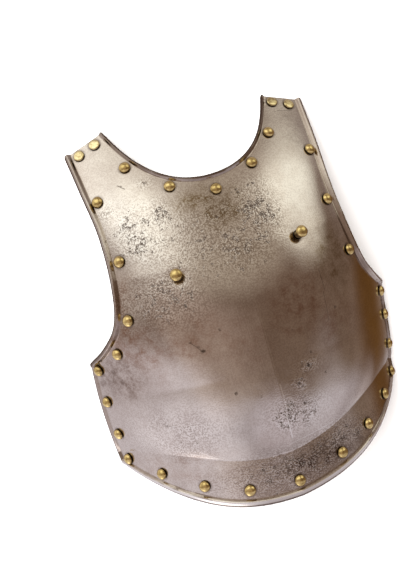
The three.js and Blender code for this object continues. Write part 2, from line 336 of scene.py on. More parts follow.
        # Each row has the corner, its radius, and the two edges that meet there
        # with the share of each at which its way from the corner is taken.
        joints = (
            (self.shoulder_outer, 3.2, self.armhole_point, 0.98, self.shoulder_point, 0.1),
            (self.shoulder_inner, 1.6, self.shoulder_point, 0.9, self.neck_point, 0.98),
            (self.corner, 2.4, self.waist_point, 0.97, self.side_point, 0.05),
        )
        for hand in Hand:
            for corner, radius, before, low, after, high in joints:
                x = hand.value * corner[0]
                shift = hand.value * self.arm_skew if corner[1] > 0 else self.square_off(x)
                tip = np.array((x, corner[1] + shift))
                ways = (curve(hand, np.array([t]))[0] - tip for curve, t in ((before, low), (after, high)))
                plan = round_corner(plan, tip, *ways, radius)
        return plan

    def edge_line(self, edge: str, hand: Hand) -> Array:
        """Points along one named edge, on the plain front."""
        return self.front(getattr(self, edge + "_point")(hand, np.linspace(0, 1, 161)))

    def away_from(self, name: str, points: Array) -> Array:
        """Distance from each point to one named edge, on either hand."""
        lines = (self.edge_line(name, hand) for hand in Hand)
        return np.min([distance_to_line(points, line) for line in lines], axis=0)

    def turned_edges(self, points: Array) -> tuple[Array, Array, Array]:
        """Works out how the edges are turned, worn and painted with light and shade.

        Args:
            points: Places on the plain front.

        Returns:
            How far the metal stands proud, the lip's band (wear and painted
            highlight above 0, painted shade below) and the share of painted shade
            in the groove at its foot, at each place.
        """
        raised, sunk, lip, groove = np.zeros((4, len(points)))
        for edge in self.turned:
            away = self.away_from(edge.name, points)
            share = np.clip((edge.reach - away) / (edge.reach - edge.flat), 0, 1)
            raised = np.maximum(raised, edge.height * share**2 * (3 - 2 * share))
            sunk = np.maximum(sunk, edge.droop * np.clip(1 - away / edge.flat, 0, 1) ** edge.bend)
            # The lip's band: wear and painted highlight where polish is above 0, painted shade below 0 and
            # along the rim.
            worn = edge.polish_and_painted_light * np.clip((edge.flat + self.lip_past - away) / self.mark_fade, 0, 1)
            worn += (self.rim_shade - worn) * np.clip((self.rim_width - away) / self.mark_fade, 0, 1)
            lip = np.where(np.abs(worn) > np.abs(lip), worn, lip)
            # The groove at the lip's foot is painted shade, darkest a little past the middle of the slope.
            foot = (edge.flat + edge.reach) / 2 + self.groove_shift
            groove = np.maximum(groove, np.exp(-((2 * (away - foot) / (edge.reach - edge.flat)) ** 2)))
        return raised - sunk, lip, groove


def smooth(table: Sequence[Sequence[float]], column: int, at: Array) -> Array:
    """Smooth curve through a table, with slopes taken from the neighbours.

    Args:
        table: Rows that begin with their rising places.
        column: Which of the rows' values to read.
        at: Places to read the curve at.

    Returns:
        The curve's value at each place.
    """
    keys, values = np.array(table)[:, (0, column)].T
    last = len(keys) - 1
    rows = np.arange(last + 1)
    before, after = np.maximum(rows - 1, 0), np.minimum(rows + 1, last)
    slopes = (values[after] - values[before]) / (keys[after] - keys[before])
    i = np.clip(np.searchsorted(keys, at, side="left") - 1, 0, last - 1)
    span = keys[i + 1] - keys[i]
    t = (at - keys[i]) / span
    t2, t3 = t * t, t * t * t
    return (
        (2 * t3 - 3 * t2 + 1) * values[i]
        + (t3 - 2 * t2 + t) * span * slopes[i]
        + (3 * t2 - 2 * t3) * values[i + 1]
        + (t3 - t2) * span * slopes[i + 1]
    )


def joined(first: Callable, second: Callable, share: float, t: Array) -> Array:
    """Points along one curve up to a share of the way, and along another from there."""
    low, high = first(np.minimum(t / share, 1)), second(np.maximum(t - share, 0) / (1 - share))
    return np.where((t < share)[:, None], low, high)


def stretched(low: Callable, high: Callable, side: Array, across: Array, t: Array) -> Array:
    """Spreads points between two curves and pulls them out to the side's own curve.

    Args:
        low: Curve along the bottom.
        high: Curve along the top.
        side: The side's point for each place.
        across: Shares of the half width.
        t: Shares of the way up.

    Returns:
        The points in plan.
    """
    share = t[:, None]
    point, edge = (low(a) * (1 - share) + high(a) * share for a in (across, np.ones_like(across)))
    return point + (side - edge) * (across**2)[:, None]


def round_corner(plan: Array, tip: Array, way_a: Array, way_b: Array, radius: float) -> Array:
    """Draws the points of a sharp corner in to a round one.

    Args:
        plan: Points of the sheet.
        tip: The sharp corner.
        way_a: Way from the corner along one edge.
        way_b: Way from the corner along the other edge.
        radius: Radius of the round corner.

    Returns:
        The moved points.
    """
    a, b = way_a / np.linalg.norm(way_a), way_b / np.linalg.norm(way_b)
    half = math.acos(np.clip(a @ b, -1, 1)) / 2
    inward = (a + b) / np.linalg.norm(a + b)
    middle = tip + inward * radius / math.sin(half)
    to_a = tip + a * radius / math.tan(half) - middle
    to_b = tip + b * radius / math.tan(half) - middle
    away = plan - middle
    length = np.maximum(np.linalg.norm(away, axis=1), 1e-9)
    cos_a, cos_b = away @ to_a / radius / length, away @ to_b / radius / length
    limit = to_a @ to_b / radius**2
    inside = (cos_a > limit) & (cos_b > limit) & (length < 3 * radius)
    share = np.where(inside, np.maximum(cos_a, cos_b), 1)
    return middle + away * share[:, None]


def distance_to_line(points: Array, line: Array) -> Array:
    """Measures how far points are from a line of short straight pieces.

    Args:
        points: Places, one row each.
        line: The places where the line's pieces meet.

    Returns:
        The distance of each point.
    """
    nearest = np.full(len(points), np.inf)
    for start, end in zip(line[:-1], line[1:]):
        along = end - start
        share = np.clip((points - start) @ along / (along @ along), 0, 1)
        foot = start + share[:, None] * along
        nearest = np.minimum(nearest, np.linalg.norm(points - foot, axis=1))
    return nearest


def graded(steps: int, reach: float, gain: float) -> Array:
    """Steps from 0 to 1 that crowd together at both ends.

    Args:
        steps: Number of steps.
        reach: How far from each end they stay short.
        gain: How many times shorter they are there, less one.

    Returns:
        The rising places, 0 and 1 included.
    """
    fine = np.linspace(0, 1, 4001)
    density = 1 + gain * sum(np.exp(-(((fine - place) / reach) ** 2)) for place in (0, 1))
    total = np.concatenate([[0], np.cumsum((density[1:] + density[:-1]) / 2)])
    return np.interp(np.linspace(0, 1, steps + 1), total / total[-1], fine)


def soft_noise(points: Array, broad: float, fine: float, fine_share: float) -> Array:
    """Broad noise at each point, with a share of a fine one, by the sizes of their lumps."""
    places = [Vector(point) for point in points]
    return np.array([noise.noise(place / broad) + fine_share * noise.noise(place / fine) for place in places])


def node_middle(node: str) -> Vector:
    """Middle of a frame node's box, in metres."""
    low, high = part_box(node)
    return (low + high) / 2


# ---------------- modelling


def select_only(piece: Piece) -> None:
    """Selects one piece alone and makes it the active one."""
    bpy.ops.object.select_all(action="DESELECT")
    piece.select_set(True)
    bpy.context.view_layer.objects.active = piece


def apply_modifier(piece: Piece, kind: str, **settings: object) -> None:
    """Adds a modifier with its settings and applies it.

    Args:
        piece: The piece to change.
        kind: Blender's name for the modifier's type.
        settings: Values of the modifier's properties.
    """
    select_only(piece)
    modifier = piece.modifiers.new(kind.title(), kind)
    for key, value in settings.items():
        setattr(modifier, key, value)
    bpy.ops.object.modifier_apply(modifier=modifier.name)


def smooth_shading(piece: Piece, degrees: float) -> None:
    """Shades a piece smooth except over edges sharper than an angle."""
    select_only(piece)
    bpy.ops.object.shade_smooth_by_angle(angle=math.radians(degrees))


def set_attributes(piece: Piece, **columns: Array) -> None:
    """Stores numbers at each vertex under their names, for the materials to read.

    Args:
        piece: The piece.
        columns: One number for each vertex, under each name.
    """
    for name, values in columns.items():
        attribute = piece.data.attributes.new(name, "FLOAT", "POINT")
        attribute.data.foreach_set("value", values.astype(np.float32))


def vertex_places(piece: Piece) -> Array:
    """Places of a piece's vertices, one row each."""
    places = np.empty(len(piece.data.vertices) * 3)
    piece.data.vertices.foreach_get("co", places)
    return places.reshape(-1, 3)


def move_vertices(piece: Piece, places: Array) -> None:
    """Puts a piece's vertices at new places."""
    piece.data.vertices.foreach_set("co", places.ravel())
    piece.data.update()


# ---------------- finishes


class Graph:
    """Short hand for wiring shader nodes."""

    def __init__(self, tree: bpy.types.NodeTree) -> None:
        """Empties the tree and keeps it."""
        self.tree = tree
        self.tree.nodes.clear()

    def add(self, kind: str, settings: dict | None = None, **inputs: object) -> bpy.types.Node:
        """Adds a node.

        Args:
            kind: The node's type, without its ShaderNode start.
            settings: Values of the node's properties.
            inputs: Values or sockets for its inputs, with _ for each space and
                in_0, in_1 for inputs by number.

        Returns:
            The node.
        """
        made = self.tree.nodes.new("ShaderNode" + kind)
        for key, value in (settings or {}).items():
            setattr(made, key, value)
        for key, value in inputs.items():
            number = key.removeprefix("in_")
            self.put(made.inputs[int(number) if number != key else key.replace("_", " ")], value)
        return made

    def put(self, socket: Socket, value: object) -> None:
        """Links an input to a socket, or sets its value."""
        if isinstance(value, Socket):
            self.tree.links.new(value, socket)
        else:
            socket.default_value = value

    def math(self, operation: str, a: object, b: object, clamp: bool = False) -> Socket:
        """Result of one sum on two numbers or sockets."""
        return self.add("Math", {"operation": operation, "use_clamp": clamp}, in_0=a, in_1=b).outputs[0]

    def plus(self, a: object, b: object) -> Socket:
        """Sum of two numbers or sockets."""
        return self.math("ADD", a, b)

    def times(self, a: object, b: object, clamp: bool = False) -> Socket:
        """Product of two numbers or sockets."""
        return self.math("MULTIPLY", a, b, clamp)

    def vector(self, operation: str, *terms: object, **inputs: object) -> Socket:
        """Adds one sum on vectors.

        Args:
            operation: Blender's name for it.
            terms: Its first vectors, as values or sockets.
            inputs: Values or sockets for its other inputs, by name.

        Returns:
            The resulting vector, or number for a distance or a dot product.
        """
        inputs |= {f"in_{number}": term for number, term in enumerate(terms)}
        made = self.add("VectorMath", {"operation": operation}, **inputs)
        return made.outputs["Value" if operation in ("DISTANCE", "DOT_PRODUCT") else "Vector"]

    def ramp(self, value: object, low: float, high: float, start: float = 0.0, end: float = 1.0) -> Socket:
        """Smooth step of a value from start to end as it goes from low to high."""
        inputs = {"Value": value, "From_Min": low, "From_Max": high, "To_Min": start, "To_Max": end}
        return self.add("MapRange", {"interpolation_type": "SMOOTHSTEP"}, **inputs).outputs[0]

    def mix(self, share: object, a: object, b: object) -> Socket:
        """Colour between a and b."""
        made = self.add("Mix", {"data_type": "RGBA"}, in_0=share)
        for value, socket in ((a, made.inputs[6]), (b, made.inputs[7])):
            self.put(socket, value if isinstance(value, Socket) else (*value, 1))
        return made.outputs[2]

    def blend(self, share: object, a: object, b: object) -> Socket:
        """Number between a and b."""
        return self.add("Mix", {"data_type": "FLOAT"}, in_0=share, in_2=a, in_3=b).outputs[0]

    def noise(self, at: Socket, size: float, detail: float, rough: float, twist: float = 0) -> Socket:
        """Soft noise whose lumps are about size metres across."""
        inputs = {"Scale": 1 / size, "Detail": detail, "Roughness": rough, "Distortion": twist}
        return self.add("TexNoise", Vector=at, **inputs).outputs["Fac"]

    def attribute(self, name: str) -> Socket:
        """Number that the mesh holds under a name."""
        return self.add("Attribute", {"attribute_name": name}).outputs["Fac"]

    def surface(self, **inputs: object) -> None:
        """Ends a material in one shader, whose inputs are given as for add."""
        shader = self.add("BsdfPrincipled", **inputs)
        self.add("OutputMaterial", Surface=shader.outputs[0])


def new_material(name: str) -> tuple[Material, Graph]:
    """Makes a material and its graph, still empty."""
    made = bpy.data.materials.new(name)
    made.use_nodes = True
    return made, Graph(made.node_tree)


@dataclass(frozen=True)
class Stain:
    """A dark spot of old rust: its place on the plate and its radius."""

    x: float
    y: float
    radius: float
    strength: float


@dataclass(frozen=True)
class Scratch:
    """A straight mark between two places on the plate. Dark marks are scratches; bright ones are wear and
    painted highlight.
    """

    start: Pair
    end: Pair
    half_width: float
    strength: float
    bright: bool


@dataclass(frozen=True)
class SteelFinish:
    """Old polished steel with a warm patina, pits and dark spots, and painted highlights and shade on its
    edges, lines and patches.

    The sizes, in metres, say how far apart the lumps of each pattern are.
    """

    bright: Color = (0.64, 0.58, 0.53)
    dim: Color = (0.54, 0.475, 0.43)
    # Bright worn steel, also used for painted highlights.
    worn: Color = (0.86, 0.83, 0.79)
    rust: Color = (0.33, 0.20, 0.14)
    olive: Color = (0.25, 0.175, 0.09)
    pit: Color = (0.10, 0.075, 0.06)
    # Dirt, also used for painted shade on the lips' rims and in the darker patches.
    grime_and_shade: Color = (0.15, 0.11, 0.088)
    # Painted shade in the groove at the foot of each turned edge.
    groove: Color = (0.19, 0.125, 0.08)
    roughness: float = 0.14
    plain_skin: float = 0.14
    cloud_size: float = 0.05
    mottle_size: float = 0.009
    grain_size: float = 0.0017
    pit_size: float = 0.0021
    bite_size: float = 0.0062
    brush_size: float = 0.0011
    brush_stretch: Place = (1.0, 0.04, 0.2)
    relief: float = 0.00024
    wander_reach: float = 0.006
    wander_density: float = 420.0
    scratch_wander: Place = (0.2, 0.2, 0)
    stains: tuple[Stain, ...] = (
        Stain(-63, -25, 3.4, 0.9), Stain(-67, -20, 2, 0.6), Stain(-73, -13, 1.8, 0.6),
        Stain(-42, -8, 2.2, 0.85), Stain(-43, -76, 2.4, 0.8), Stain(-19, -87, 1.6, 0.6),
        Stain(37, -70, 3, 0.85), Stain(31, -66, 1.8, 0.6), Stain(22, -85, 3, 0.8),
        Stain(54, -84, 1.9, 0.7), Stain(43, -58, 1.8, 0.7), Stain(30, -30, 1.5, 0.6),
        Stain(83, -24, 2.2, 0.7), Stain(56, 86, 2, 0.8), Stain(23, 43, 1.8, 0.7),
        Stain(-90, 149, 1.7, 0.8), Stain(-65, 147, 1.6, 0.8), Stain(-115, -99, 2.2, 0.5),
        Stain(-110, 127, 2.4, 0.5),
    )
    scratches: tuple[Scratch, ...] = (
        Scratch((76, 18), (76, -3), 0.45, 0.55, False), Scratch((74, -4), (72, -34), 0.4, 0.5, False),
        Scratch((-73, -14), (-64, -25), 0.6, 0.6, False), Scratch((-93, 151), (-87, 146), 0.7, 0.7, False),
        Scratch((-118, -96), (-108, -101), 0.5, 0.4, False),
        Scratch((100, 181), (118, 177), 0.45, 0.5, False),
        Scratch((-60, 166), (-42, 152), 0.5, 0.5, False),
        # The bright lines down the keel and along the crease are painted highlights as well as wear.
        Scratch((2.2, -79), (3, -101), 0.9, 0.95, True),
        Scratch((3, -101), (1.6, -118), 1, 0.95, True),
        Scratch((1.6, -118), (2.6, -139), 0.9, 0.95, True),
        Scratch((-2, -146), (52, -140), 0.5, 0.6, True), Scratch((0.4, 12), (1.2, -79), 0.5, 0.3, True),
    )

    def material(self, offset: Vector) -> Material:
        """Makes the steel.

        Args:
            offset: Where the plate's own middle is, in metres.

        Returns:
            The material.
        """
        made, graph = new_material("polished_steel")
        place = graph.add("TexCoord").outputs["Object"]
        inner, lip, groove, seat = (graph.attribute(name) for name in ("inner", "lip", "groove", "seat"))
        pitted, rusty, olive, bright, grimy = (graph.attribute(kind.value) for kind in Bloom)

        clouds = graph.noise(place, self.cloud_size, 4, 0.6)
        mottle = graph.noise(place, self.mottle_size, 4, 0.65)
        grain = graph.noise(place, self.grain_size, 1.5, 0.55)
        worms = graph.noise(place, self.pit_size, 2, 0.5, 1.4)
        eaten = graph.noise(place, self.bite_size, 2, 0.55)
        drawn = graph.add("Mapping", Vector=place, Scale=self.brush_stretch).outputs[0]
        brushing = graph.noise(drawn, self.brush_size, 3, 0.6)
        wander = graph.add("TexNoise", Vector=place, Scale=self.wander_density, Detail=3.0).outputs["Color"]
        reach = (self.wander_reach,) * 3
        nudge = graph.vector("MULTIPLY_ADD", wander, reach, (-0.5 * self.wander_reach,) * 3)
        nudged = graph.vector("MULTIPLY", graph.vector("ADD", place, nudge), (1, 1, 0))
        flat = graph.vector("MULTIPLY", place, (1, 1, 0))
        wandering = graph.vector("MULTIPLY_ADD", nudge, self.scratch_wander, flat)

        uneven = graph.ramp(mottle, 0.35, 0.65, 0.45, 1.25)
        skin = graph.plus(self.plain_skin, graph.times(pitted, 1 - self.plain_skin))
        fleck = graph.times(graph.ramp(grain, 0.50, 0.58), skin)
        dimple = graph.times(graph.ramp(grain, 0.49, 0.41), skin)
        bitten = graph.ramp(graph.math("SUBTRACT", eaten, graph.blend(pitted, 0.80, 0.44)), 0.0, 0.07)
        pit = graph.times(graph.ramp(worms, 0.515, 0.545), bitten)
        ring = graph.times(graph.ramp(seat, 9.0, 6.3), graph.ramp(mottle, 0.3, 0.6, 0.25, 0.7))
        layers = [
            (graph.times(rusty, uneven, clamp=True), self.rust),
            (graph.times(olive, uneven, clamp=True), self.olive),
            # Painted highlights, as brightly worn steel.
            (graph.times(bright, 0.5), self.worn),
            # Darker patches, painted shade among them.
            (graph.times(grimy, uneven, clamp=True), self.grime_and_shade),
            (graph.times(fleck, 0.85), self.worn),
            (graph.times(dimple, 0.62), self.grime_and_shade),
            (graph.ramp(brushing, 0.60, 0.78, 0.0, 0.3), self.grime_and_shade),
            (graph.times(pit, 0.75), self.pit),
            (self.stain_share(graph, nudged, offset), self.pit),
        ]
        for scratch in self.scratches:
            share = self.scratch_share(graph, wandering, scratch, offset)
            # Bright marks are painted highlight as well as wear.
            layers.append((share, self.worn if scratch.bright else self.pit))
        layers += [
            # Painted shade in the groove at the foot of each turned edge.
            (graph.times(groove, 0.6), self.groove),
            # The lip's band: wear and painted highlight where lighter, painted shade where darker and along
            # the rim.
            (graph.math("MAXIMUM", lip, 0.0), self.worn),
            (graph.times(lip, -1.0, clamp=True), self.grime_and_shade),
            (ring, self.grime_and_shade),
            (graph.ramp(inner, 0.0, 0.4, 0.0, 0.85), self.grime_and_shade),
        ]
        color = graph.mix(graph.ramp(clouds, 0.38, 0.64), self.dim, self.bright)
        for share, tint in layers:
            color = graph.mix(share, color, tint)

        rough = graph.plus(self.roughness, graph.times(graph.math("SUBTRACT", mottle, 0.5), 0.16))
        for wear, gain in ((skin, 0.04), (pit, 0.3), (inner, 0.35)):
            rough = graph.plus(rough, graph.times(wear, gain))
        relief = graph.math("SUBTRACT", graph.times(grain, skin), pit)
        relief = graph.plus(relief, graph.times(brushing, 0.12))
        bump = graph.add("Bump", Strength=1.0, Distance=self.relief, Height=relief).outputs[0]
        graph.surface(Base_Color=color, Metallic=1.0, Roughness=rough, Normal=bump)
        return made

    def stain_share(self, graph: Graph, flat: Socket, offset: Vector) -> Socket:
        """Finds the share of dark stain, from the table of spots.

        Args:
            graph: The steel's nodes.
            flat: Where on the plate, in plan.
            offset: Where the plate's own middle is, in metres.

        Returns:
            The share, from 0 to 1.
        """
        total: object = 0.0
        for stain in self.stains:
            middle = (stain.x * MM + offset.x, stain.y * MM + offset.y, 0)
            away = graph.vector("DISTANCE", flat, middle)
            radius = stain.radius * MM
            total = graph.math("MAXIMUM", total, graph.ramp(away, radius, 0.1 * radius, 0.0, stain.strength))
        return total

    def scratch_share(self, graph: Graph, flat: Socket, scratch: Scratch, offset: Vector) -> Socket:
        """Finds the share of one scratch.

        Args:
            graph: The steel's nodes.
            flat: Where on the plate, in plan, wandering a little.
            scratch: The scratch.
            offset: Where the plate's own middle is, in metres.

        Returns:
            The share, from 0 to 1.
        """
        start, end = (Vector(place) * MM + offset.xy for place in (scratch.start, scratch.end))
        way = (end - start).to_3d()
        away = graph.vector("SUBTRACT", flat, start.to_3d())
        along = graph.vector("DOT_PRODUCT", away, way / way.length_squared)
        along = graph.math("MINIMUM", graph.math("MAXIMUM", along, 0.0), 1.0)
        gap = graph.vector("DISTANCE", away, graph.vector("SCALE", way, Scale=along))
        width = scratch.half_width * MM
        return graph.ramp(gap, width, 0.3 * width, 0.0, scratch.strength)


@dataclass(frozen=True)
class BrassFinish:
    """Worn brass, tarnished in blotches, with painted shade low on each head and under the buttons' heads."""

    bright: Color = (0.78, 0.61, 0.27)
    pale: Color = (0.90, 0.78, 0.46)
    dull: Color = (0.36, 0.25, 0.08)
    # Painted shade low on each head and under the buttons' heads.
    seam: Color = (0.055, 0.036, 0.022)
    roughness: float = 0.09
    blotch_size: float = 0.0035
    dent_size: float = 0.0019
    dent_depth: float = 0.00015

    def material(self) -> Material:
        """Makes the brass.

        Returns:
            The material.
        """
        made, graph = new_material("worn_brass")
        place = graph.add("TexCoord").outputs["Object"]
        seam, pale, tone = (graph.attribute(name) for name in ("seam", "pale", "tone"))
        blotches = graph.noise(place, self.blotch_size, 4, 0.65)
        tarnish = graph.plus(graph.ramp(blotches, 0.45, 0.7, 0, 0.6), graph.times(tone, 0.25))
        color = graph.mix(pale, self.bright, self.pale)
        color = graph.mix(graph.math("MINIMUM", tarnish, 0.9), color, self.dull)
        # Painted shade low on each head and under the buttons' heads.
        color = graph.mix(graph.times(seam, 0.92), color, self.seam)
        rough = graph.plus(self.roughness, graph.times(blotches, 0.16))
        dents = graph.noise(place, self.dent_size, 3, 0.5)
        bump = graph.add("Bump", Strength=0.8, Distance=self.dent_depth, Height=dents).outputs[0]
        graph.surface(Base_Color=color, Metallic=1.0, Roughness=rough, Normal=bump)
        return made


@dataclass(frozen=True)
class FloorFinish:
    """Pale seamless studio paper."""

    color: Color = (0.93, 0.93, 0.93)
    roughness: float = 0.8

    def material(self) -> Material:
        """Makes the paper."""
        made, graph = new_material("pale_floor")
        graph.surface(Base_Color=(*self.color, 1), Roughness=self.roughness)
        return made


# ---------------- pieces


@dataclass(frozen=True)
class Patch:
    """A patch of one bloom: its place, its half widths and its strength."""

    x: float
    y: float
    wide: float
    high: float
    strength: float


@dataclass
class Breastplate:
    """The forged plate, as one closed shell with turned edges, worn and painted with light and shade.

    Each bloom's patches stand in the field of its name.
    """

    form: PlateForm
    finish: SteelFinish
    half_columns: int = 106
    flange_rows: int = 42
    body_rows: int = 160
    rim_round: float = 0.9
    wear_depth: float = 0.4
    dent_depth: float = 0.35
    dish_depth: float = 0.7
    dish_radius: float = 13
    sharp_degrees: float = 40
    pitted: tuple[Patch, ...] = (
        Patch(-88, 98, 32, 30, 0.85), Patch(-62, 112, 13, 17, 0.9), Patch(-112, 127, 10, 8, 0.75),
        Patch(-66, 146, 8, 6, 0.7), Patch(32, 90, 26, 34, 0.95), Patch(4, 68, 34, 30, 0.8),
        Patch(-30, 80, 60, 45, 0.6), Patch(-86, 34, 40, 28, 0.8), Patch(12, -115, 28, 18, 1),
        Patch(37, -70, 13, 8, 0.8), Patch(22, -85, 9, 7, 0.8), Patch(-7, -173, 75, 22, 0.65),
        Patch(60, -158, 50, 16, 0.65), Patch(-100, -110, 45, 28, 0.4),
    )
    rusty: tuple[Patch, ...] = (
        Patch(44, -6, 38, 38, 0.6), Patch(75, -30, 32, 32, 0.4), Patch(-72, -12, 52, 27, 0.45),
        Patch(-122, -8, 34, 34, 0.62), Patch(-124, 42, 20, 26, 0.5), Patch(-20, -25, 30, 32, 0.3),
        Patch(-108, -150, 44, 16, 0.3), Patch(-146, -42, 20, 26, 0.5),
    )
    olive: tuple[Patch, ...] = (
        Patch(-2, 106, 23, 22, 1), Patch(-22, 118, 24, 13, 0.85), Patch(100, 26, 26, 34, 0.6),
        Patch(10, 60, 40, 26, 0.25),
    )
    # Bright patches: painted highlights, laid as brightly worn steel.
    bright: tuple[Patch, ...] = (
        Patch(92, -141, 26, 11, 1), Patch(-80, -150, 28, 9, 0.8), Patch(84, -163, 16, 8, 0.8),
        Patch(-90, 110, 38, 34, 0.8), Patch(82, 104, 32, 30, 1), Patch(-30, -102, 62, 34, 0.7),
        Patch(-31, -84, 28, 16, 1), Patch(30, -102, 26, 20, 0.6), Patch(-108, -80, 26, 16, 0.2),
    )
    # Darker patches, painted shade among them, as on the flange below the crease.
    grimy: tuple[Patch, ...] = (
        Patch(26, -170, 58, 14, 0.75), Patch(-148, -42, 22, 26, 0.6), Patch(-2, 106, 16, 15, 0.35),
        Patch(108, 160, 14, 22, 0.3),
    )
    offset: Vector = field(default_factory=Vector, init=False)

    def build(self) -> Piece:
        """Models and dresses the plate.

        Returns:
            The finished piece, riding on the frame.
        """
        across = graded(self.half_columns, reach=0.09, gain=1.6)
        flange = graded(self.flange_rows, reach=0.22, gain=1.6)
        body = 1 + graded(self.body_rows, reach=0.05, gain=2.2)
        rise = np.concatenate([flange, body[1:]])
        columns = np.concatenate([-across[::-1], across[1:]])
        steps = np.array((len(columns) - 1, len(rise) - 1))
        bpy.ops.mesh.primitive_grid_add(x_subdivisions=int(steps[0]), y_subdivisions=int(steps[1]), size=1)
        piece = bpy.context.object
        piece.name = "breastplate_steel"
        column, row = np.rint((vertex_places(piece)[:, :2] + 0.5) * steps).astype(int).T
        u, v = columns[column], rise[row]
        halves = (self.form.plan(hand, np.abs(u), v) for hand in Hand)
        plan = self.form.round_corners(np.where((u < 0)[:, None], *halves))
        base = self.form.front(plan)
        normals = self.form.normal(plan)
        lift, lip, groove = self.form.turned_edges(base)
        front = base + normals * (lift - self.dents(base))[:, None]
        uneven = soft_noise(base, 11, 4, 0.5)
        blooms = {bloom.value: self.spread(getattr(self, bloom.value), base, uneven) for bloom in Bloom}
        set_attributes(piece, lip=lip, groove=groove, **blooms)
        move_vertices(piece, front * MM)
        self.thicken(piece, normals)
        self.settle(piece)
        set_attributes(piece, seat=self.seat_distance(vertex_places(piece)))
        piece.data.materials.append(self.finish.material(self.offset))
        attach(piece, "root")
        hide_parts(PLATE_NODE)
        return piece

    def dents(self, points: Array) -> Array:
        """Finds how deep wear, the hammer's soft waves and the buttons' dishes are.

        Args:
            points: Places on the plain front.

        Returns:
            The depth at each place, in millimetres.
        """
        wave = soft_noise(points, 42, 15, 0.35)
        depth = self.wear_depth + self.dent_depth * np.clip(0.5 + 0.5 * wave, 0, 1)
        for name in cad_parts:
            if name.startswith(RivetKind.BUTTON.value):
                middle = np.array(node_middle(name))[:2] / MM
                share = np.linalg.norm(points[:, :2] - middle, axis=1) / self.dish_radius
                depth += self.dish_depth * np.clip(1 - share**2, 0, 1) ** 2
        return depth

    def spread(self, patches: Sequence[Patch], points: Array, uneven: Array) -> Array:
        """Finds how strong one bloom is.

        Args:
            patches: The bloom's patches.
            points: Places on the plain front.
            uneven: Noise at each place, which breaks up the patches.

        Returns:
            The strength at each place, from 0 to 1.
        """
        total = np.zeros(len(points))
        for patch in patches:
            away = ((points[:, 0] - patch.x) / patch.wide) ** 2 + ((points[:, 1] - patch.y) / patch.high) ** 2
            total = np.maximum(total, patch.strength * np.exp(-(away**1.3)))
        return np.clip(total * (1 + 0.7 * uneven), 0, 1)

    def seat_distance(self, places: Array) -> Array:
        """Distance from each place to the nearest fastening's middle, in millimetres."""
        middles = [np.array(node_middle(name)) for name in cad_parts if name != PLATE_NODE]
        return np.min([np.linalg.norm(places - middle, axis=1) for middle in middles], axis=0) / MM

    def thicken(self, piece: Piece, normals: Array) -> None:
        """Gives the plate its wall, marks the inside and rounds the rim.

        Args:
            piece: The plate's front, still without a wall.
            normals: The way out of the plain front at each vertex.
        """
        front = vertex_places(piece)
        apply_modifier(piece, "SOLIDIFY", thickness=self.form.thickness * MM, offset=-1)
        set_attributes(piece, inner=np.arange(len(piece.data.vertices)) >= len(front))
        back = front - normals * self.form.thickness * MM
        move_vertices(piece, np.concatenate([front, back]))
        limit = {"limit_method": "ANGLE", "angle_limit": math.radians(self.sharp_degrees)}
        apply_modifier(piece, "BEVEL", width=self.rim_round * MM, segments=3, **limit)
        smooth_shading(piece, self.sharp_degrees)

    def settle(self, piece: Piece) -> None:
        """Lays the plate in its frame's box and keeps how far it moved.

        Args:
            piece: The plate.
        """
        low, high = (np.array(corner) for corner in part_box(PLATE_NODE))
        places = vertex_places(piece)
        middle = (low + high) / 2 - (places.min(0) + places.max(0)) / 2
        middle[2] = low[2] - places[:, 2].min()
        move_vertices(piece, places + middle)
        self.offset = Vector(middle)


